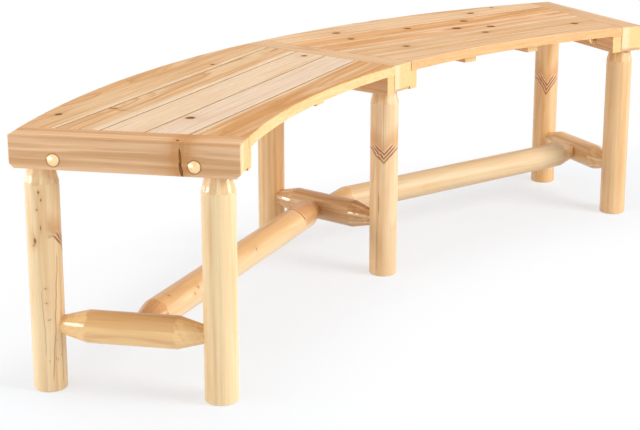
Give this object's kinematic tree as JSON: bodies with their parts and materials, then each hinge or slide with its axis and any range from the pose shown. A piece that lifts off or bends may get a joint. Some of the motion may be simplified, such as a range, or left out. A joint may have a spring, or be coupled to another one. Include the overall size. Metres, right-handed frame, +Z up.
{
  "type": "bench",
  "caption": "Curved backless log bench: slatted seat panels span between leg frames of round logs, tied by round stretchers.",
  "frame": {"origin": "on the floor, under the middle of the outline seen from above", "axes": "+X along the length to the right of someone looking at the concave front, +Y towards the convex back, +Z up"},
  "size_m": [1.7578, 0.5678, 0.45],
  "materials": {
    "slats": "pale fir boards with a clear satin finish",
    "beams": "reddish fir timbers with a clear satin finish",
    "legs": "turned fir logs with a clear satin finish",
    "stretchers": "turned fir logs with a clear satin finish",
    "framing": "fir cleats and battens with a clear satin finish",
    "bolts": "yellow plated domed bolt heads, satin",
    "hardware": "zinc plated nuts, washers and screws"
  },
  "bodies": {
    "root": {"left_beam": "beams", "left_front_leg": "legs", "left_back_leg": "legs", "left_cross_stretcher": "stretchers", "left_bolts": "bolts", "left_washers": "hardware", "left_nuts": "hardware", "middle_beam": "beams", "middle_front_leg": "legs", "middle_back_leg": "legs", "middle_cross_stretcher": "stretchers", "middle_bolts": "bolts", "middle_washers": "hardware", "middle_nuts": "hardware", "right_beam": "beams", "right_front_leg": "legs", "right_back_leg": "legs", "right_cross_stretcher": "stretchers", "right_bolts": "bolts", "right_washers": "hardware", "right_nuts": "hardware", "left_long_stretcher": "stretchers", "left_slat_1": "slats", "left_slat_2": "slats", "left_slat_3": "slats", "left_slat_4": "slats", "left_slat_5": "slats", "left_inner_cleat": "framing", "left_inner_batten": "framing", "left_outer_cleat": "framing", "left_outer_batten": "framing", "left_cleat_screws": "hardware", "left_batten_screws": "hardware", "right_long_stretcher": "stretchers", "right_slat_1": "slats", "right_slat_2": "slats", "right_slat_3": "slats", "right_slat_4": "slats", "right_slat_5": "slats", "right_inner_cleat": "framing", "right_inner_batten": "framing", "right_outer_cleat": "framing", "right_outer_batten": "framing", "right_cleat_screws": "hardware", "right_batten_screws": "hardware"}
  },
  "joints": []
}
